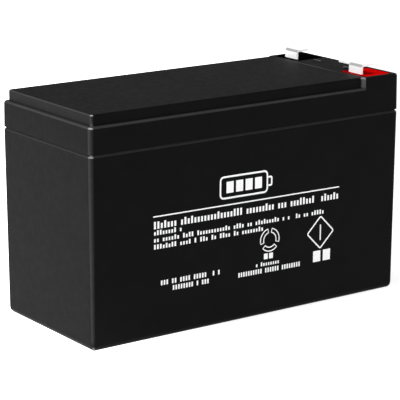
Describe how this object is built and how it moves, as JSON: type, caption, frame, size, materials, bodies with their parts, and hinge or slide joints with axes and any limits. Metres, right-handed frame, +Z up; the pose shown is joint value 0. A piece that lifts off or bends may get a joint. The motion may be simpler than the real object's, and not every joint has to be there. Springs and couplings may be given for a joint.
{
  "type": "sealed lead acid battery",
  "caption": "Sealed lead acid battery block: black moulded case with a stepped lid, a raised vent cover and flat push-on tabs set in red and black resin.",
  "frame": {"origin": "middle of the base, on the surface that the battery stands on", "axes": "+Z up, +X along the length towards the end with the tabs, -Y towards the printed front side, which the positive tab is nearer to"},
  "size_m": [0.151, 0.065, 0.0961],
  "materials": {
    "case_plastic": "moulded black ABS, satin with a very fine grain",
    "soft_rubber": "soft black rubber, matt",
    "positive_paste": "brown lead dioxide paste on a lead grid, matt",
    "negative_paste": "grey spongy lead paste on a lead grid, matt",
    "glass_mat": "white felted glass fibre",
    "lead": "cast lead, dull grey",
    "tinned_metal": "tin-plated copper strip, bright satin",
    "red_resin": "poured red epoxy, glossy",
    "black_resin": "poured black epoxy, glossy",
    "white_print": "thin white printing ink on the case's front"
  },
  "bodies": {
    "root": {"container": "case_plastic", "lid": "case_plastic", "vent_cover": "case_plastic", "valve_cap_1": "soft_rubber", "valve_cap_2": "soft_rubber", "valve_cap_3": "soft_rubber", "valve_cap_4": "soft_rubber", "valve_cap_5": "soft_rubber", "valve_cap_6": "soft_rubber", "positive_plates_1": "positive_paste", "positive_plates_2": "positive_paste", "positive_plates_3": "positive_paste", "positive_plates_4": "positive_paste", "positive_plates_5": "positive_paste", "positive_plates_6": "positive_paste", "negative_plates_1": "negative_paste", "negative_plates_2": "negative_paste", "negative_plates_3": "negative_paste", "negative_plates_4": "negative_paste", "negative_plates_5": "negative_paste", "negative_plates_6": "negative_paste", "separator_1": "glass_mat", "separator_2": "glass_mat", "separator_3": "glass_mat", "separator_4": "glass_mat", "separator_5": "glass_mat", "separator_6": "glass_mat", "cell_link_1": "lead", "cell_link_2": "lead", "cell_link_3": "lead", "cell_link_4": "lead", "cell_link_5": "lead", "positive_post": "lead", "negative_post": "lead", "positive_gasket": "soft_rubber", "negative_gasket": "soft_rubber", "positive_tab": "tinned_metal", "negative_tab": "tinned_metal", "positive_seal": "red_resin", "negative_seal": "black_resin"}
  },
  "joints": []
}
